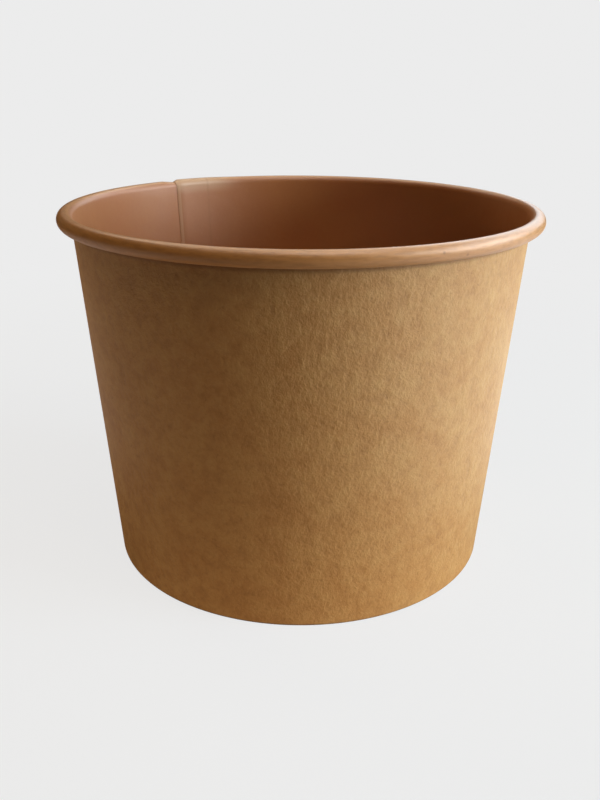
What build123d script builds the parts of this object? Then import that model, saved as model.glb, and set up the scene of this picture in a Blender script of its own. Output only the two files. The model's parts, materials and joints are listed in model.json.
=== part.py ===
from build123d import *
from math import asin, atan2, cos, degrees, hypot, radians, sin, tan
import os

# Round paper ice cream tub, made of two pieces of coated paperboard.
#
# The side wall is one fan-shaped blank wrapped to a cone and sealed to itself along a lap. Its top
# edge is curled outwards into a rolled rim, and its bottom edge is folded in and up as a hem. The
# base is a disc whose edge is turned down as a skirt, which is clamped between the wall and the hem.
#
# +Z is up, and the origin is at the centre of the foot, on the surface that the tub stands on.

# Driving dimensions, in millimetres and degrees
rim_diameter = 98.0  # over the rolled rim, which is the size that a lid is chosen by
foot_diameter = 81.5  # over the wall, where it meets the table
height = 74.5

wall_board = 0.38  # thickness of the board that the side wall is cut from
base_board = 0.32  # thickness of the board that the base is cut from

roll_diameter = 3.1  # over the section of the rolled rim
roll_outer_turn = 250.0  # how far the curl goes round at its full size
roll_tucked_turn = 150.0  # how far it goes on, drawn in, inside itself
roll_gap = 0.06  # between the tucked edge and the wall that it passes

base_recess = 6.0  # from the table to the underside of the base
base_bend = 0.44  # inside radius of the bend between the base and its skirt
hem_crease = 0.03  # inside radius of the two bends under the foot
hem_margin = 0.75  # from the top of the hem up to where the base begins to bend
glue_line = 0.05  # between two faces that are sealed to each other
skirt_edge_gap = 0.12  # between the edge of the skirt and the bottom of the fold

seam_azimuth = 131.0  # where the inner end of the wrapped wall stops, from +X towards +Y
lap_width = 8.0  # how far the two ends of the wall lie on each other
lap_ramp = 3.0  # how far the outer end takes to come back down to the round

# The wall is tangent to the section of the roll, and this is what sets its lean
foot_radius = foot_diameter / 2
roll_radius = roll_diameter / 2
roll_centre = (rim_diameter / 2 - roll_radius, height - roll_radius)
roll_offset = roll_centre[0] - foot_radius
lean = atan2(roll_offset, roll_centre[1])
lean -= asin((roll_radius - wall_board) / hypot(roll_offset, roll_centre[1]))


def cone_radius(depth, z):
    """Radius at height z of the cone that lies at this depth inside the wall's outer face."""
    return foot_radius + z * tan(lean) - depth / cos(lean)


def polar(radius, angle):
    """Point at this radius and this angle in degrees from the first axis of its plane."""
    return (radius * cos(radians(angle)), radius * sin(radians(angle)))


# Side wall: its section follows the middle of the board from the hem's top to the tucked edge
wall_middle = wall_board / 2
hem_middle = wall_board + 2 * glue_line + base_board + wall_middle
hem_height = base_recess - base_bend - hem_margin
curl_radius = roll_radius - wall_middle
curl_start = 180 - degrees(lean)
curl_out = polar(curl_radius, curl_start)
tuck_start = curl_start - roll_outer_turn
tuck_draw = (wall_board + roll_gap) / (1 - cos(radians(roll_outer_turn)))
tuck_shift = polar(tuck_draw, tuck_start)

# The outer end of the wall lies on the inner end from the foot up into the roll, and comes down a
# ramp beyond it. The ramp's faces are carried on past the round, so that they cross it cleanly.
lap_angle = degrees(lap_width / cone_radius(0, height / 2))
ramp_angle = degrees(lap_ramp / cone_radius(0, height / 2))
lap_start = seam_azimuth - lap_angle
ramp_reach = 1.5
ramp_end = seam_azimuth + ramp_reach * ramp_angle
ramp_dip = (ramp_reach - 1) * wall_board
lap_bottom = hem_crease + wall_board
lap_top = roll_centre[1]
pocket_bottom = base_recess + base_board + base_bend

with BuildPart() as side_wall:
    with BuildSketch(Plane.XZ):
        with BuildLine():
            FilletPolyline(
                (cone_radius(hem_middle, hem_height), hem_height),
                (cone_radius(hem_middle, wall_middle), wall_middle),
                (cone_radius(wall_middle, wall_middle), wall_middle),
                (roll_centre[0] + curl_out[0], roll_centre[1] + curl_out[1]),
                radius=hem_crease + wall_middle,
            )
            CenterArc(roll_centre, curl_radius, curl_start, -roll_outer_turn)
            CenterArc(
                (roll_centre[0] + tuck_shift[0], roll_centre[1] + tuck_shift[1]),
                curl_radius - tuck_draw,
                tuck_start,
                -roll_tucked_turn,
            )
        trace(line_width=wall_board)
    revolve(axis=Axis.Z)

    # Outer end of the wall, from its cut edge to the foot of its ramp
    for level in (lap_bottom, lap_top):
        outer_face = cone_radius(0, level)
        lap_face = outer_face + wall_board
        buried_face = outer_face - ramp_dip
        with BuildSketch(Plane.XY.offset(level)):
            with BuildLine():
                Line(polar(buried_face, lap_start), polar(lap_face, lap_start))
                CenterArc((0, 0), lap_face, lap_start, lap_angle)
                Line(polar(lap_face, seam_azimuth), polar(buried_face, ramp_end))
                CenterArc((0, 0), buried_face, lap_start, ramp_end - lap_start)
            make_face()
    loft(ruled=True)

    # Pocket under the ramp, beside the inner end's cut edge
    for level in (pocket_bottom, lap_top):
        inner_face = cone_radius(wall_board, level)
        with BuildSketch(Plane.XY.offset(level)):
            with BuildLine():
                Polyline(
                    polar(inner_face - ramp_dip, seam_azimuth),
                    polar(inner_face + wall_board, seam_azimuth),
                    polar(inner_face - ramp_dip, ramp_end),
                    close=True,
                )
            make_face()
    loft(ruled=True, mode=Mode.SUBTRACT)
side_wall.part.label = "side_wall"

# Base: a flat panel whose edge is turned down along the inside of the wall
base_middle = base_board / 2
panel_level = base_recess + base_middle
skirt_depth = wall_board + glue_line + base_middle
skirt_bottom = wall_board + skirt_edge_gap

with BuildPart() as base_disc:
    with BuildSketch(Plane.XZ):
        with BuildLine():
            FilletPolyline(
                (0, panel_level),
                (cone_radius(skirt_depth, panel_level), panel_level),
                (cone_radius(skirt_depth, skirt_bottom), skirt_bottom),
                radius=base_bend + base_middle,
            )
        trace(line_width=base_board)
    revolve(axis=Axis.Z)
base_disc.part.label = "base_disc"

os.makedirs("parts", exist_ok=True)
for piece in (side_wall, base_disc):
    export_step(piece.part, f"parts/{piece.part.label}.step")
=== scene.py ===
import json
from math import acos, asin, atan2, cos, hypot, pi, radians, sin, tan

import bpy
from bpy.props import (
    FloatProperty,
    FloatVectorProperty,
    IntProperty,
    PointerProperty,
)
from mathutils import Euler, Matrix, Vector


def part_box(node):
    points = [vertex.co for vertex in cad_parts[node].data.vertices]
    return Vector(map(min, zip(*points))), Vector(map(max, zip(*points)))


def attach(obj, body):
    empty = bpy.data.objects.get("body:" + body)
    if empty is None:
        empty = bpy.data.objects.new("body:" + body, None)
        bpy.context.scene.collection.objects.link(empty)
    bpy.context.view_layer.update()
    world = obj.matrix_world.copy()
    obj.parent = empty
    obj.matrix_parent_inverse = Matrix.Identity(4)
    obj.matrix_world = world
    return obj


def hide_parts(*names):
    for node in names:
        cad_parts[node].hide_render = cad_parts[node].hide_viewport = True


bl_info = {
    "name": "Paper ice cream tub",
    "version": (1, 0, 0),
    "blender": (4, 5, 0),
    "location": "View3D > Sidebar > Tub",
    "description": "Wraps, rolls and hems the paperboard of a tub around its packed model",
    "category": "Object",
}

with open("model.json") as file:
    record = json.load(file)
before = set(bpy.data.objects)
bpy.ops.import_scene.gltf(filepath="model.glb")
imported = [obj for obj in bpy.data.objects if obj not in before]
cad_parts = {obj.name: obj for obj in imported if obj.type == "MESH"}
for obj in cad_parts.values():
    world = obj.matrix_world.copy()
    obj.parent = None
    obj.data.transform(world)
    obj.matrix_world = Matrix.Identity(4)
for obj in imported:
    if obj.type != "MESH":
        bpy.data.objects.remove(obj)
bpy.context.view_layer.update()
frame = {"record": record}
mounts = {mount["name"]: mount for mount in frame["record"]["mounts"]}

MM = 0.001
UP = (0.0, 0.0, 1.0)
SMOOTH_BELOW = radians(40)


# Sizes and colours that a user would change


class TubShape(bpy.types.PropertyGroup):
    """Sizes of the two boards, in metres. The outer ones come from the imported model."""

    rim_radius: FloatProperty(
        name="Rim radius",
        description="Outside of the rolled rim",
        default=mounts["lid_rim"]["dims"]["r_mm"] * MM,
        unit="LENGTH",
    )
    roll_radius: FloatProperty(
        name="Roll radius",
        description="Outside of the rolled rim's own section",
        default=mounts["lid_rim"]["dims"]["length_mm"] * MM / 2,
        unit="LENGTH",
    )
    roll_height: FloatProperty(
        name="Roll height",
        description="Middle of the rolled rim above the table",
        default=mounts["lid_rim"]["pos_m"][2],
        unit="LENGTH",
    )
    foot_radius: FloatProperty(
        name="Foot radius",
        description="Outside of the wall where it meets the table",
        default=40.75 * MM,
        unit="LENGTH",
    )
    wall_board: FloatProperty(
        name="Wall board",
        description="Thickness of the side wall",
        default=0.38 * MM,
        unit="LENGTH",
    )
    base_board: FloatProperty(
        name="Base board",
        description="Thickness of the base",
        default=0.32 * MM,
        unit="LENGTH",
    )
    base_top: FloatProperty(
        name="Base height",
        description="Top of the base's panel above the table",
        default=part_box("base_disc")[1].z,
        unit="LENGTH",
    )
    hem_height: FloatProperty(
        name="Hem height",
        description="Top of the folded hem above the table",
        default=4.81 * MM,
        unit="LENGTH",
    )
    seam_azimuth: FloatProperty(
        name="Seam azimuth",
        description="Where the inner end of the wrapped wall stops, from +X towards +Y",
        default=radians(131),
        subtype="ANGLE",
    )
    lap_angle: FloatProperty(
        name="Lap angle",
        description="How far the two ends of the wall lie on each other",
        default=radians(10.5),
        subtype="ANGLE",
    )
    pressed_end: FloatProperty(
        name="Pressed end",
        description="Thickness of the lap's inner end, as a share of the board's",
        default=0.22,
        min=0.1,
        max=1,
    )
    lap_swell: FloatProperty(
        name="Swell over the lap",
        description="How much thicker the roll is where it holds both ends of the wall",
        default=0.16 * MM,
        unit="LENGTH",
    )
    turn_steps: IntProperty(
        name="Steps in a turn",
        description="Facets round the tub",
        default=274,
    )


class TubFinish(bpy.types.PropertyGroup):
    """Colours and roughness of the boards."""

    kraft: FloatVectorProperty(
        name="Kraft",
        description="Uncoated outside of the board",
        subtype="COLOR",
        default=(0.43, 0.217, 0.067),
        min=0,
        max=1,
    )
    kraft_fibre: FloatVectorProperty(
        name="Pale fibres",
        description="Fibres that lie on the kraft surface",
        subtype="COLOR",
        default=(0.588, 0.383, 0.153),
        min=0,
        max=1,
    )
    kraft_fleck: FloatVectorProperty(
        name="Dark flecks",
        description="Bark and dark fibres in the kraft surface",
        subtype="COLOR",
        default=(0.231, 0.1035, 0.031),
        min=0,
        max=1,
    )
    coated: FloatVectorProperty(
        name="Coated face",
        description="Kraft seen through the film that lines the tub",
        subtype="COLOR",
        default=(0.355, 0.140, 0.053),
        min=0,
        max=1,
    )
    roll: FloatVectorProperty(
        name="Roll",
        description="Coated face where it is stretched over the rolled rim",
        subtype="COLOR",
        default=(0.50, 0.245, 0.080),
        min=0,
        max=1,
    )
    core: FloatVectorProperty(
        name="Cut edge",
        description="Raw core of the board at a cut edge",
        subtype="COLOR",
        default=(0.66, 0.48, 0.31),
        min=0,
        max=1,
    )
    film_roughness: FloatProperty(
        name="Film roughness",
        description="Roughness of the film that lines the tub",
        default=0.34,
        min=0,
        max=1,
    )


class TubStage(bpy.types.PropertyGroup):
    """Camera and floor."""

    camera_distance: FloatProperty(
        name="Camera distance",
        description="From the tub's axis to the camera, measured level",
        default=0.1819,
        unit="LENGTH",
    )
    camera_height: FloatProperty(
        name="Camera height",
        description="Camera above the table",
        default=0.1015,
        unit="LENGTH",
    )
    camera_pitch: FloatProperty(
        name="Camera pitch",
        description="How far the camera looks down",
        default=radians(21.17),
        subtype="ANGLE",
    )
    camera_roll: FloatProperty(
        name="Camera roll",
        description="How far the camera leans to its left",
        default=radians(0.34),
        subtype="ANGLE",
    )
    camera_lens: FloatProperty(
        name="Lens",
        description="Focal length in millimetres on a 36 mm frame",
        default=39.19,
    )
    floor_grey: FloatProperty(
        name="Floor",
        description="Brightness of the pale floor and backdrop",
        default=0.838,
        min=0,
        max=1,
    )
    floor_shade: FloatProperty(
        name="Floor shade",
        description="How much of the floor's brightness near the tub comes from the lamps",
        default=0.16,
        min=0,
        max=1,
    )


# Modelling with Blender's own operators


def deselect_everything():
    """Start the next piece with nothing selected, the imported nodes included."""
    if bpy.context.object and bpy.context.object.mode != "OBJECT":
        bpy.ops.object.mode_set(mode="OBJECT")
    bpy.ops.object.select_all(action="DESELECT")


def apply_modifier(piece, kind, **settings):
    """Add one modifier with these settings and apply it."""
    modifier = piece.modifiers.new(kind.title(), kind)
    for name, value in settings.items():
        setattr(modifier, name, value)
    bpy.ops.object.modifier_apply(modifier=modifier.name)


class Outline:
    """The middle line of a board in a plane through the tub's axis, drawn from end to end."""

    def __init__(self, name, azimuth, start):
        self.azimuth = azimuth
        self.end = start
        deselect_everything()
        bpy.ops.mesh.primitive_circle_add(vertices=3, radius=MM, location=self.place(start))
        self.piece = bpy.context.object
        self.piece.name = name
        self.piece.data.name = name
        bpy.ops.object.transform_apply(location=True, rotation=True, scale=True)
        bpy.ops.object.mode_set(mode="EDIT")
        bpy.ops.mesh.select_mode(type="VERT")
        bpy.ops.mesh.select_all(action="SELECT")
        bpy.ops.mesh.merge(type="CENTER")
        bpy.ops.mesh.select_all(action="SELECT")

    def place(self, point):
        """Position in space of a point given by its radius and height."""
        return Vector((point[0] * cos(self.azimuth), point[0] * sin(self.azimuth), point[1]))

    def line_to(self, point, pieces=1):
        """Carry the board on, straight to a point, in this many equal pieces."""
        step = (self.place(point) - self.place(self.end)) / pieces
        for _ in range(pieces):
            bpy.ops.mesh.extrude_region_move(TRANSFORM_OT_translate={"value": step})
        self.end = point

    def bend(self, centre, angle, pieces):
        """Turn the board round a centre. A positive angle is clockwise, with the axis on the left."""
        across = (sin(self.azimuth), -cos(self.azimuth), 0.0)
        bpy.ops.mesh.spin(steps=pieces, angle=angle, center=self.place(centre), axis=across)
        reach = hypot(self.end[0] - centre[0], self.end[1] - centre[1])
        bearing = atan2(self.end[1] - centre[1], self.end[0] - centre[0]) - angle
        self.end = (centre[0] + reach * cos(bearing), centre[1] + reach * sin(bearing))


def vertex_count(piece):
    """Number of vertices in a piece that is being edited."""
    piece.update_from_editmode()
    return len(piece.data.vertices)


def keep_selected(piece, wanted):
    """Drop from the selection each vertex whose position isn't wanted."""
    bpy.ops.object.mode_set(mode="OBJECT")
    for vertex in piece.data.vertices:
        vertex.select = vertex.select and wanted(vertex.co)
    mesh = piece.data
    for edge in mesh.edges:
        edge.select = all(mesh.vertices[index].select for index in edge.vertices)
    for face in mesh.polygons:
        face.select = all(mesh.vertices[index].select for index in face.vertices)
    bpy.ops.object.mode_set(mode="EDIT")


def turn(steps, angle):
    """Sweep what is selected round the tub's axis, clockwise seen from above."""
    bpy.ops.mesh.spin(steps=steps, angle=angle, center=(0, 0, 0), axis=UP)


def weigh(piece, name, weight):
    """Make a vertex group from a function of a vertex's index and position."""
    group = piece.vertex_groups.new(name=name)
    for vertex in piece.data.vertices:
        value = weight(vertex.index, vertex.co)
        if value > 0:
            group.add([vertex.index], value, "REPLACE")
    return group.name


def close_and_face(piece, outward):
    """Merge what coincides, and make the faces point the way that outward says of one of them."""
    bpy.ops.object.mode_set(mode="EDIT")
    bpy.ops.mesh.select_all(action="SELECT")
    bpy.ops.mesh.remove_doubles(threshold=0.001 * MM)
    bpy.ops.mesh.normals_make_consistent(inside=False)
    piece.update_from_editmode()
    if not outward(piece.data):
        bpy.ops.mesh.flip_normals()
    bpy.ops.object.mode_set(mode="OBJECT")


def smooth_step(low, high, value):
    """0 below low, 1 above high, and a smooth rise between them."""
    share = min(max((value - low) / (high - low), 0.0), 1.0)
    return share * share * (3 - 2 * share)


# The lines that both boards are drawn to


class Section:
    """Section of the tub through its axis, worked out from its sizes."""

    glue = 0.05 * MM
    crease = 0.03 * MM
    outer_turn = radians(250)
    tucked_turn = radians(150)
    roll_gap = 0.06 * MM
    lap_gap = 0.02 * MM
    lap_bottom = 0.9 * MM

    def __init__(self, shape):
        self.board = shape.wall_board
        self.foot = shape.foot_radius
        self.hem_top = shape.hem_height
        self.roll = (shape.rim_radius - shape.roll_radius, shape.roll_height)
        across = self.roll[0] - self.foot
        self.lean = atan2(across, self.roll[1])
        self.lean -= asin((shape.roll_radius - self.board) / hypot(across, self.roll[1]))
        self.curl = shape.roll_radius - self.board / 2
        self.fold = self.crease + self.board / 2
        self.wall = self.board / 2
        self.skirt = self.board + self.glue + shape.base_board / 2
        self.hem = self.board + 2 * self.glue + shape.base_board + self.board / 2
        draw = (self.board + self.roll_gap) / (1 - cos(self.outer_turn))
        bearing = pi - self.lean - self.outer_turn
        self.tuck = (self.roll[0] + draw * cos(bearing), self.roll[1] + draw * sin(bearing))

    def radius(self, depth, height):
        """Radius of the cone at this depth inside the wall's outer face."""
        return self.foot + height * tan(self.lean) - depth / cos(self.lean)

    def in_hem(self, place):
        """True in the hem, which is what lies inside the base's skirt at the foot."""
        inside = hypot(place.x, place.y) < self.radius(self.skirt, place.z)
        return inside and place.z < self.hem_top + MM

    def tucked(self, place):
        """0 in the wall and the roll's outer turn, rising to 1 in the edge tucked inside it."""
        if place.z < self.roll[1] - self.curl - self.board:
            return 0.0
        reach = hypot(hypot(place.x, place.y) - self.roll[0], place.z - self.roll[1])
        rise_begins, rise_ends = 0.01 * MM, 0.14 * MM
        return smooth_step(rise_begins, rise_ends, self.curl - reach)

    def beside(self, centre, distance):
        """Point at this distance from a centre, square to the wall, outwards if positive."""
        return (centre[0] + distance * cos(self.lean), centre[1] - distance * sin(self.lean))


# Side wall


def draw_wall(section, shape):
    """Middle line of the wall's board, from the hem's top to the tucked edge of the roll."""
    hem_top = (section.radius(section.hem, section.hem_top), section.hem_top)
    fold_height = section.board / 2 + section.fold
    inner_fold = (section.radius(section.hem - section.fold, fold_height), fold_height)
    outer_fold = (section.radius(section.wall + section.fold, fold_height), fold_height)
    line = Outline("wrapped_wall", shape.seam_azimuth, hem_top)
    line.line_to(section.beside(inner_fold, -section.fold), pieces=8)
    line.bend(inner_fold, -(pi / 2 + section.lean), pieces=4)
    line.line_to((outer_fold[0], section.board / 2))
    line.bend(outer_fold, -(pi / 2 - section.lean), pieces=4)
    lap_bottom = (section.radius(section.wall, section.lap_bottom), section.lap_bottom)
    line.line_to(lap_bottom)
    line.line_to(section.beside(section.roll, -section.curl), pieces=36)
    line.bend(section.roll, section.outer_turn, pieces=26)
    line.bend(section.tuck, section.tucked_turn, pieces=10)
    return line.piece


def wrap_wall(piece, section, shape):
    """Sweep the line once round and on past its own beginning. Returns the vertex counts at
    which the ramp up to the lap and the lap itself begin."""
    ramp_steps = 3
    lap_steps = 8
    step = 2 * pi / shape.turn_steps
    slack = 0.05 * MM
    lap_bottom = section.lap_bottom - slack
    wall_top = section.beside(section.roll, -section.curl)[1] + slack

    def above_fold(place):
        return place.z > lap_bottom and not section.in_hem(place) and section.tucked(place) == 0

    def on_wall(place):
        away = abs(hypot(place.x, place.y) - section.radius(section.wall, place.z))
        return place.z < wall_top and away < slack

    bpy.ops.mesh.select_all(action="SELECT")
    turn(shape.turn_steps - ramp_steps, 2 * pi - ramp_steps * step)
    ramp_begins = vertex_count(piece)
    turn(ramp_steps, ramp_steps * step)
    lap_begins = vertex_count(piece)
    keep_selected(piece, above_fold)
    lap_step = shape.lap_angle / lap_steps
    turn(1, lap_step)
    keep_selected(piece, on_wall)
    turn(lap_steps - 1, shape.lap_angle - lap_step)
    bpy.ops.object.mode_set(mode="OBJECT")
    return ramp_begins, lap_begins


class TUB_OT_wall(bpy.types.Operator):
    """Wrap, roll and hem the side wall"""

    bl_idname = "tub.wall"
    bl_label = "Side wall"

    def execute(self, context):
        shape = context.scene.tub_shape
        section = Section(shape)
        piece = draw_wall(section, shape)
        ring = vertex_count(piece)
        ramp_begins, lap_begins = wrap_wall(piece, section, shape)
        ramp_rings = (lap_begins - ramp_begins) // ring
        clearance = section.board + section.lap_gap
        sunk = (1 - shape.pressed_end) * section.board / 2 / clearance
        middle = shape.roll_height / 2
        # The lap rises out of the fold between two heights. The lift of the tucked edge and the
        # swell of the roll fade out past the seam, counted in widths of the lap.
        fold_begins, fold_ends = 0.5 * MM, 0.85 * MM
        tuck_fades, tuck_ends = 1.0, 1.5
        swell_fades, swell_ends = 0.9, 2.1
        slack = 0.01

        def laps_past(place):
            return (shape.seam_azimuth - atan2(place.y, place.x)) / shape.lap_angle

        def above_hem(place):
            return 0.0 if section.in_hem(place) else smooth_step(fold_begins, fold_ends, place.z)

        def lift(index, place):
            if index >= lap_begins:
                return above_hem(place)
            if index < ramp_begins:
                past = laps_past(place)
                tucked = section.tucked(place)
                tucked_lift = tucked * (1 - smooth_step(tuck_fades, tuck_ends, past)) * (past > -slack)
                return tucked_lift + (index < ring) * (1 - tucked) * sunk * above_hem(place)
            rung = (index - ramp_begins) // ring + 1
            return above_hem(place) * rung / ramp_rings

        def board(index, place):
            pressed = (index < ring) * (1 - section.tucked(place)) * above_hem(place)
            return 1 - pressed * (1 - shape.pressed_end)

        def faces_out(mesh):
            face = min(mesh.polygons, key=lambda face: abs(face.center.z - middle))
            return face.normal.dot(Vector((face.center.x, face.center.y, 0))) > 0

        bpy.ops.object.mode_set(mode="EDIT")
        bpy.ops.mesh.select_all(action="SELECT")
        bpy.ops.mesh.normals_make_consistent(inside=False)
        bpy.ops.object.mode_set(mode="OBJECT")
        outwards = 1 if faces_out(piece.data) else -1
        board_group = weigh(piece, "board", board)
        apply_modifier(
            piece,
            "DISPLACE",
            vertex_group=weigh(piece, "lift", lift),
            strength=outwards * clearance,
            mid_level=0,
        )
        close_and_face(piece, faces_out)

        def swell(_, place):
            if place.z < section.roll[1]:
                return 0.0
            past = laps_past(place)
            over = smooth_step(-2 * slack, 0.0, past) * (1 - smooth_step(swell_fades, swell_ends, past))
            height = smooth_step(section.roll[1], section.roll[1] + MM, place.z)
            return over * height * (1 - section.tucked(place))

        apply_modifier(
            piece,
            "DISPLACE",
            vertex_group=weigh(piece, "swell", swell),
            strength=-shape.lap_swell,
            mid_level=0,
        )
        for paint in (kraft_board(context), coated_board(context), cut_edge(context)):
            piece.data.materials.append(paint)
        apply_modifier(
            piece,
            "SOLIDIFY",
            vertex_group=board_group,
            thickness=section.board,
            offset=0,
            use_even_offset=True,
            material_offset=1,
            material_offset_rim=2,
        )
        bpy.ops.object.shade_smooth_by_angle(angle=SMOOTH_BELOW)
        piece.vertex_groups.clear()
        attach(piece, "root")
        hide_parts("side_wall")
        return {"FINISHED"}


# Base


class TUB_OT_base(bpy.types.Operator):
    """Press the base's panel and turn its skirt down"""

    bl_idname = "tub.base"
    bl_label = "Base"

    def execute(self, context):
        shape = context.scene.tub_shape
        section = Section(shape)
        board = shape.base_board
        level = shape.base_top - board / 2
        inside_bend = 0.44 * MM
        bend = inside_bend + board / 2
        corner = (section.radius(section.skirt + bend, level - bend), level - bend)
        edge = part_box("base_disc")[0].z
        line = Outline("base_panel", 0.0, (section.radius(section.skirt, edge), edge))
        line.line_to(section.beside(corner, bend), pieces=4)
        line.bend(corner, -(pi / 2 + section.lean), pieces=6)
        line.line_to((0.0, level), pieces=16)
        piece = line.piece
        bpy.ops.mesh.select_all(action="SELECT")
        turn(shape.turn_steps, 2 * pi)
        bpy.ops.object.mode_set(mode="OBJECT")

        def faces_up(mesh):
            return max(mesh.polygons, key=lambda face: face.center.z).normal.z > 0

        close_and_face(piece, faces_up)
        for paint in (coated_board(context), kraft_board(context), cut_edge(context)):
            piece.data.materials.append(paint)
        apply_modifier(
            piece,
            "SOLIDIFY",
            thickness=board,
            offset=0,
            use_even_offset=True,
            material_offset=1,
            material_offset_rim=2,
        )
        bpy.ops.object.shade_smooth_by_angle(angle=SMOOTH_BELOW)
        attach(piece, "root")
        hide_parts("base_disc")
        return {"FINISHED"}


# Finishes


class Wire:
    """A value in a material's nodes. Arithmetic on it adds Math nodes."""

    def __init__(self, paint, socket):
        self.paint = paint
        self.socket = socket

    def math(self, operation, first, second):
        return self.paint.node("Math", {"operation": operation}, {0: first, 1: second})

    def __add__(self, other):
        return self.math("ADD", self, other)

    __radd__ = __add__

    def __sub__(self, other):
        return self.math("SUBTRACT", self, other)

    def __rsub__(self, other):
        return self.math("SUBTRACT", other, self)

    def __mul__(self, other):
        return self.math("MULTIPLY", self, other)

    __rmul__ = __mul__


class Paint:
    """The nodes of one material."""

    def __init__(self, name):
        self.material = bpy.data.materials.new(name)
        self.material.use_nodes = True
        self.nodes = self.material.node_tree.nodes
        self.links = self.material.node_tree.links
        self.shader = self.nodes["Principled BSDF"]
        self.place = self.node("TexCoord", {}, {}, "Object")

    def node(self, kind, settings, inputs, output=0):
        """Add a node of this type, set it up, feed its sockets and return one of its outputs."""
        node = self.nodes.new("ShaderNode" + kind)
        for name, value in settings.items():
            setattr(node, name, value)
        for name, value in inputs.items():
            self.feed(node.inputs[name], value)
        return Wire(self, node.outputs[output])

    def feed(self, socket, value):
        """Link a wire to a socket, or set the socket to a plain value."""
        if isinstance(value, Wire):
            self.links.new(value.socket, socket)
        elif hasattr(value, "__len__") and len(value) == 3 and socket.type == "RGBA":
            socket.default_value = (*value, 1)
        else:
            socket.default_value = value

    def finish(self, **values):
        """Feed the shader's sockets, whose names are written with _ for a space."""
        for name, value in values.items():
            self.feed(self.shader.inputs[name.replace("_", " ")], value)
        return self.material

    def noise(self, grain, detail=2.0, distortion=0.0, roughness=0.5, place=None):
        """Noise from 0 to 1 whose grains are about this many metres across."""
        return self.node(
            "TexNoise",
            {},
            {
                "Vector": place or self.place,
                "Scale": 1 / grain,
                "Detail": detail,
                "Roughness": roughness,
                "Distortion": distortion,
            },
        )

    def magnitude(self, value):
        """The value without its sign."""
        return self.node("Math", {"operation": "ABSOLUTE"}, {0: value})

    def height(self):
        """Height above the table, in metres."""
        return self.node("SeparateXYZ", {}, {0: self.place}, 2)

    def polar(self, seam):
        """Angle round the tub, which starts and ends at the seam, and distance from the axis."""
        turned = self.node(
            "VectorRotate",
            {"rotation_type": "Z_AXIS"},
            {"Vector": self.place, "Angle": pi - seam},
        )
        east = self.node("SeparateXYZ", {}, {0: turned}, 0)
        north = self.node("SeparateXYZ", {}, {0: turned}, 1)
        angle = self.node("Math", {"operation": "ARCTAN2"}, {0: north, 1: east})
        flat = self.node("CombineXYZ", {}, {0: east, 1: north})
        return angle, self.node("VectorMath", {"operation": "LENGTH"}, {0: flat}, "Value")

    def wound(self, angle, radius, along, across):
        """Place measured along the board round the tub, in grains this long and this wide."""
        mean_radius = 45 * MM
        return self.node(
            "CombineXYZ",
            {},
            {
                0: angle * (mean_radius / along),
                1: self.height() * (1 / across),
                2: radius * (1 / across),
            },
        )

    def spot(self, shape, azimuth, drop, size):
        """1 at a point on the roll this far below its top, and 0 beyond this size."""
        lean = acos(1 - drop / shape.roll_radius)
        reach = shape.rim_radius - shape.roll_radius + shape.roll_radius * sin(lean)
        height = shape.roll_height + shape.roll_radius - drop
        centre = (reach * cos(azimuth), reach * sin(azimuth), height)
        away = self.node("VectorMath", {"operation": "DISTANCE"}, {0: self.place, 1: centre}, "Value")
        return self.band(away, size, 0.0)

    def band(self, value, low, high):
        """0 where the value is at low, 1 where it is at high, and smooth between them."""
        return self.node(
            "MapRange",
            {"interpolation_type": "SMOOTHSTEP"},
            {"Value": value, "From Min": low, "From Max": high},
        )

    def blend(self, share, first, second):
        """Colour that goes from first to second as share goes from 0 to 1."""
        node = self.nodes.new("ShaderNodeMix")
        node.data_type = "RGBA"
        colours = [socket for socket in node.inputs if socket.type == "RGBA"]
        self.feed(node.inputs[0], share)
        self.feed(colours[0], first)
        self.feed(colours[1], second)
        result = [socket for socket in node.outputs if socket.type == "RGBA"][0]
        return Wire(self, result)

    def bump(self, height, depth, under=None):
        """Relief of this depth in metres for a height from 0 to 1."""
        inputs = {"Height": height, "Strength": 1.0, "Distance": depth}
        if under:
            inputs["Normal"] = under
        return self.node("Bump", {}, inputs)


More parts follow.
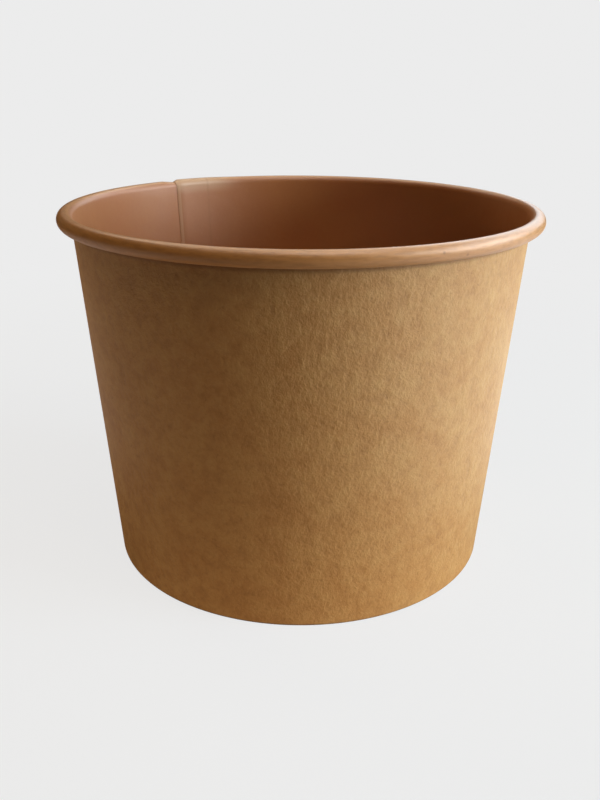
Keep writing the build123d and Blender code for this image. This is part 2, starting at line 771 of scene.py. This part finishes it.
def kraft_board(context):
    """Uncoated kraft: matte, mottled, with pale fibres, dark flecks and a felt-like relief, and a band
    of painted shade just under the roll.
    """
    finish = context.scene.tub_finish
    shape = context.scene.tub_shape
    paint = Paint("kraft_board")
    kraft, pale, dark = tuple(finish.kraft), tuple(finish.kraft_fibre), tuple(finish.kraft_fleck)
    cloud = paint.noise(9 * MM, detail=3)
    mottle = paint.noise(2.6 * MM, detail=3, roughness=0.65)
    pebble = paint.noise(1.25 * MM, detail=2, roughness=0.6)
    felt = paint.noise(0.62 * MM, detail=3, roughness=0.65)
    dust = paint.noise(0.30 * MM, detail=1)
    fibre = paint.noise(1.1 * MM, detail=1, distortion=1.4)
    strand = 1 - paint.band(paint.magnitude(fibre - 0.5), 0.0, 0.022)
    fleck = paint.band(paint.noise(0.8 * MM, detail=1, distortion=0.8), 0.70, 0.76)
    tone = paint.blend(paint.band(cloud, 0.3, 0.7) * 0.20, kraft, pale)
    tone = paint.blend(paint.band(mottle, 0.40, 0.70) * 0.22, tone, pale)
    tone = paint.blend(paint.band(mottle, 0.52, 0.28) * 0.20, tone, dark)
    tone = paint.blend(paint.band(pebble, 0.50, 0.30) * 0.14, tone, dark)
    tone = paint.blend(paint.band(felt, 0.52, 0.30) * 0.17, tone, dark)
    tone = paint.blend(paint.band(felt, 0.55, 0.76) * 0.16, tone, pale)
    tone = paint.blend(paint.band(dust, 0.50, 0.25) * 0.10, tone, dark)
    tone = paint.blend(strand * 0.12, tone, pale)
    tone = paint.blend(fleck * 0.30, tone, dark)
    under_roll = shape.roll_height - shape.roll_radius
    # Painted shade: the wall is darkened in a band just under the roll, where the roll shades it.
    crease = paint.band(paint.height(), under_roll - 1.3 * MM, under_roll - 0.5 * MM)
    tone = paint.blend(crease * 0.70, tone, dark)
    relief = paint.bump(mottle, 0.16 * MM)
    relief = paint.bump(pebble, 0.10 * MM, under=relief)
    relief = paint.bump(felt, 0.095 * MM, under=relief)
    relief = paint.bump(dust, 0.010 * MM, under=relief)
    return paint.finish(
        Base_Color=tone,
        Roughness=0.53 + felt * 0.18,
        Normal=relief,
    )


def coated_board(context):
    """Kraft under a thin film: deeper in colour and satin inside, paler and crinkled in the roll,
    with the lap's edges showing through as lines and two small nicks in the roll. A painted
    highlight lies on the roll over the lap, and the roll's lower half is painted darker so that
    its top reads as a painted highlight."""
    finish = context.scene.tub_finish
    shape = context.scene.tub_shape
    paint = Paint("coated_board")
    coated, kraft, dark = tuple(finish.coated), tuple(finish.kraft), tuple(finish.kraft_fleck)
    core = tuple(finish.core)
    cloud = paint.noise(12 * MM, detail=3)
    grain = paint.noise(0.7 * MM, detail=2)
    swell = paint.noise(4 * MM, detail=1)
    angle, radius = paint.polar(shape.seam_azimuth)
    crinkle = paint.noise(1.0, detail=2, place=paint.wound(angle, radius, 2.2 * MM, 0.50 * MM))
    inner_edge = shape.rim_radius - 1.8 * shape.roll_radius
    rolled = paint.band(radius, inner_edge, inner_edge + 0.8 * MM)
    tone = paint.blend(paint.band(cloud, 0.3, 0.7) * 0.16, coated, kraft)
    tone = paint.blend(paint.band(grain, 0.4, 0.75) * 0.10, tone, kraft)
    roll = paint.blend(paint.band(crinkle, 0.58, 0.34) * 0.28, tuple(finish.roll), dark)
    # Painted highlight: the roll's lower half is blended part way to the darker coated colour, so that
    # its top reads paler.
    painted_shade_low_roll = paint.band(paint.height(), shape.roll_height + 0.6 * MM, shape.roll_height - 0.6 * MM)
    roll = paint.blend(painted_shade_low_roll * 0.30, roll, coated)
    tone = paint.blend(rolled, tone, roll)
    # Painted highlight: the roll's inner side and top over the lap are blended towards the pale core
    # colour.
    painted_highlight_over_lap = paint.band(angle, pi - 2.2 * shape.lap_angle, pi - shape.lap_angle)
    painted_highlight_over_lap *= paint.band(paint.height(), shape.roll_height - 2.2 * MM, shape.roll_height + 0.9 * MM)
    outer_side = shape.rim_radius - 0.5 * shape.roll_radius
    inner_side = shape.rim_radius - 1.2 * shape.roll_radius
    painted_highlight_over_lap *= paint.band(radius, outer_side, inner_side)
    tone = paint.blend(painted_highlight_over_lap * 0.55, tone, core)
    above_base = paint.band(paint.height(), shape.base_top + 0.2 * MM, shape.base_top + 0.6 * MM)
    cut_width, soft = 0.014, 0.006
    cut = paint.band(angle, pi - cut_width - soft, pi - cut_width) * above_base
    tone = paint.blend(cut * 0.25, tone, core)
    hidden_end = paint.magnitude(angle - (pi - shape.lap_angle))
    hidden_line = paint.band(hidden_end, 2 * soft, 0.0) * above_base
    tone = paint.blend(hidden_line * 0.18, tone, dark)
    for azimuth, drop in ((-62.0, 1.25), (-56.1, 2.1)):
        nick = paint.spot(shape, radians(azimuth), drop * MM, 0.45 * MM)
        tone = paint.blend(nick * 0.8, tone, dark)
    upper = paint.band(paint.height(), shape.roll_height - 0.5 * MM, shape.roll_height + 0.7 * MM)
    upper = rolled * upper
    relief = paint.bump(swell, 0.08 * MM)
    relief = paint.bump(grain, 0.014 * MM, under=relief)
    relief = paint.bump(crinkle * rolled, 0.04 * MM, under=relief)
    return paint.finish(
        Base_Color=tone,
        Roughness=finish.film_roughness + grain * 0.08 + (rolled - upper) * 0.16,
        Coat_Weight=0.12 + upper * 0.48,
        Coat_Roughness=0.36,
        Normal=relief,
    )


def cut_edge(context):
    """Raw core of the board: paler than its faces, and rough."""
    finish = context.scene.tub_finish
    paint = Paint("cut_edge")
    grain = paint.noise(0.25 * MM, detail=2)
    return paint.finish(
        Base_Color=paint.blend(grain, tuple(finish.core), tuple(finish.kraft)),
        Roughness=0.8,
        Normal=paint.bump(grain, 0.03 * MM),
    )


# Stage


AMBER = (1.0, 0.72, 0.44)
TAN = (1.0, 0.86, 0.68)
PALE = (1.0, 0.96, 0.92)
COOL = (0.88, 0.95, 1.0)
SKY = (0.60, 0.82, 1.0)

LAMP_DISTANCE = 0.8

LAMPS = (
    # name, degrees round to the camera's right, degrees up, width, watts, colour,
    # and whether it lights what is matte or shows as a sheen
    ("window_middle", 75, 5, 0.4, 7.70, COOL, "matte"),
    ("window_side", 90, 5, 0.4, 2.75, SKY, "matte"),
    ("window_back", 128, 5, 0.4, 1.10, SKY, "matte"),
    ("window_high", 50, 35, 0.4, 1.10, AMBER, "matte"),
    ("ceiling_right", 40, 62, 0.4, 0.78, AMBER, "matte"),
    ("ceiling_left", -60, 62, 0.4, 0.76, AMBER, "matte"),
    ("ceiling", 0, 89.9, 0.4, 0.54, AMBER, "matte"),
    ("room_left", -140, 5, 0.4, 3.19, AMBER, "matte"),
    ("sheen_right", 106, 30, 0.5, 3.20, COOL, "gloss"),
    ("sheen_far", 150, 26, 0.5, 1.90, COOL, "gloss"),
    ("sheen_low", 66, 24, 0.5, 3.20, COOL, "gloss"),
    ("sheen_side", 90, 15, 0.5, 2.40, COOL, "gloss"),
    ("sheen_front", 36, 75, 0.5, 2.50, PALE, "gloss"),
    ("sheen_back", 180, 62, 0.9, 5.50, TAN, "gloss"),
)

BOUNCES = (
    # name, degrees round to the camera's right, distance from the axis to the middle,
    # width, length, watts, colour, and what it lights, as above
    ("near_front", -20, 0.0575, 0.115, 0.14, 0.0295, AMBER, "matte"),
    ("near_right", 35, 0.0575, 0.115, 0.14, 0.0100, AMBER, "matte"),
    ("floor_left", -90, 0.22, 0.30, 0.30, 0.178, AMBER, "matte"),
    ("floor_right", 90, 0.22, 0.30, 0.30, 0.323, SKY, "matte"),
    ("sheen_floor_left", -90, 0.22, 0.30, 0.30, 0.168, PALE, "gloss"),
    ("sheen_floor_right", 90, 0.22, 0.30, 0.30, 0.54, COOL, "gloss"),
    ("sheen_floor_front", 40, 0.135, 0.11, 0.14, 0.010, AMBER, "gloss"),
)


def hang(context, name, place, facing, size, watts, colour, lit):
    """Add one soft rectangular lamp that the camera doesn't see. It lights a surface's own
    colour if lit is matte, and only shows as a sheen on it if lit is gloss."""
    light = bpy.data.lights.new(name, "AREA")
    light.shape = "RECTANGLE"
    light.size, light.size_y = size
    light.energy = watts
    light.color = colour
    lamp = bpy.data.objects.new(name, light)
    lamp.location = place
    lamp.rotation_euler = facing
    lamp.visible_camera = False
    lamp.visible_glossy = lit == "gloss"
    lamp.visible_diffuse = lit == "matte"
    context.scene.collection.objects.link(lamp)


class TUB_OT_stage(bpy.types.Operator):
    """Set the floor, the lamps and the camera"""

    bl_idname = "tub.stage"
    bl_label = "Stage"

    def execute(self, context):
        stage = context.scene.tub_stage
        deselect_everything()
        floor_width = 6
        bpy.ops.mesh.primitive_plane_add(size=floor_width)
        floor = context.object
        floor.name = "floor"
        grey = (stage.floor_grey,) * 3
        paint = Paint("pale_floor")
        reach = paint.node("VectorMath", {"operation": "LENGTH"}, {0: paint.place}, "Value")
        shade_ends, shade_begins = 0.30, 0.09
        near = paint.band(reach, shade_ends, shade_begins)
        cool = (0.84, 1.0, 1.18)
        cooled = tuple(stage.floor_shade * part for part in cool)
        given_up = stage.floor_shade * 0.68
        paint.finish(
            Base_Color=paint.blend(near, (0.0, 0.0, 0.0), cooled),
            Roughness=1.0,
            Specular_IOR_Level=0.0,
            Emission_Color=paint.blend(near * given_up, grey, (0.0, 0.0, 0.0)),
            Emission_Strength=1.0,
        )
        floor.data.materials.append(paint.material)
        floor.visible_diffuse = False
        floor.visible_glossy = False

        world = bpy.data.worlds.new("pale_room")
        world.use_nodes = True
        world.node_tree.nodes["Background"].inputs["Color"].default_value = (*grey, 1)
        world.cycles_visibility.diffuse = False
        world.cycles_visibility.glossy = False
        context.scene.world = world

        middle = Vector((0, 0, 45 * MM))
        for name, azimuth, elevation, width, watts, colour, lit in LAMPS:
            turned, raised = radians(azimuth), radians(elevation)
            way = Vector((sin(turned) * cos(raised), -cos(turned) * cos(raised), sin(raised)))
            facing = way.to_track_quat("Z", "Y").to_euler()
            place = middle + way * LAMP_DISTANCE
            hang(context, name, place, facing, (width, width), watts, colour, lit)
        layer = 0.1 * MM
        for level, bounce in enumerate(BOUNCES, start=2):
            name, azimuth, distance, width, length, watts, colour, lit = bounce
            turned = radians(azimuth)
            place = (distance * sin(turned), -distance * cos(turned), level * layer)
            facing = (pi, 0, pi / 2 - turned)
            hang(context, name, place, facing, (width, length), watts, colour, lit)

        lens = bpy.data.cameras.new("camera")
        lens.lens = stage.camera_lens
        camera = bpy.data.objects.new("camera", lens)
        camera.location = (0, -stage.camera_distance, stage.camera_height)
        aim = Euler((pi / 2 - stage.camera_pitch, 0, 0)).to_matrix()
        camera.rotation_euler = (aim @ Matrix.Rotation(stage.camera_roll, 3, "Z")).to_euler()
        context.scene.collection.objects.link(camera)
        context.scene.camera = camera
        context.scene.view_settings.view_transform = "Standard"
        return {"FINISHED"}


class TUB_PT_panel(bpy.types.Panel):
    """Buttons that make the tub and its stage"""

    bl_label = "Tub"
    bl_idname = "TUB_PT_panel"
    bl_space_type = "VIEW_3D"
    bl_region_type = "UI"
    bl_category = "Tub"

    def draw(self, context):
        for operator in OPERATORS:
            self.layout.operator(operator.bl_idname)


GROUPS = (TubShape, TubFinish, TubStage)
OPERATORS = (TUB_OT_wall, TUB_OT_base, TUB_OT_stage)


def register():
    """Register the classes and hang their properties on the scene."""
    for kind in (*GROUPS, *OPERATORS, TUB_PT_panel):
        bpy.utils.register_class(kind)
    bpy.types.Scene.tub_shape = PointerProperty(type=TubShape)
    bpy.types.Scene.tub_finish = PointerProperty(type=TubFinish)
    bpy.types.Scene.tub_stage = PointerProperty(type=TubStage)


def unregister():
    """Take the properties and the classes away again."""
    del bpy.types.Scene.tub_stage
    del bpy.types.Scene.tub_finish
    del bpy.types.Scene.tub_shape
    for kind in (TUB_PT_panel, *reversed(OPERATORS), *reversed(GROUPS)):
        bpy.utils.unregister_class(kind)


def main():
    """Make every piece and the stage."""
    register()
    bpy.ops.tub.wall()
    bpy.ops.tub.base()
    bpy.ops.tub.stage()


if __name__ == "__main__":
    main()
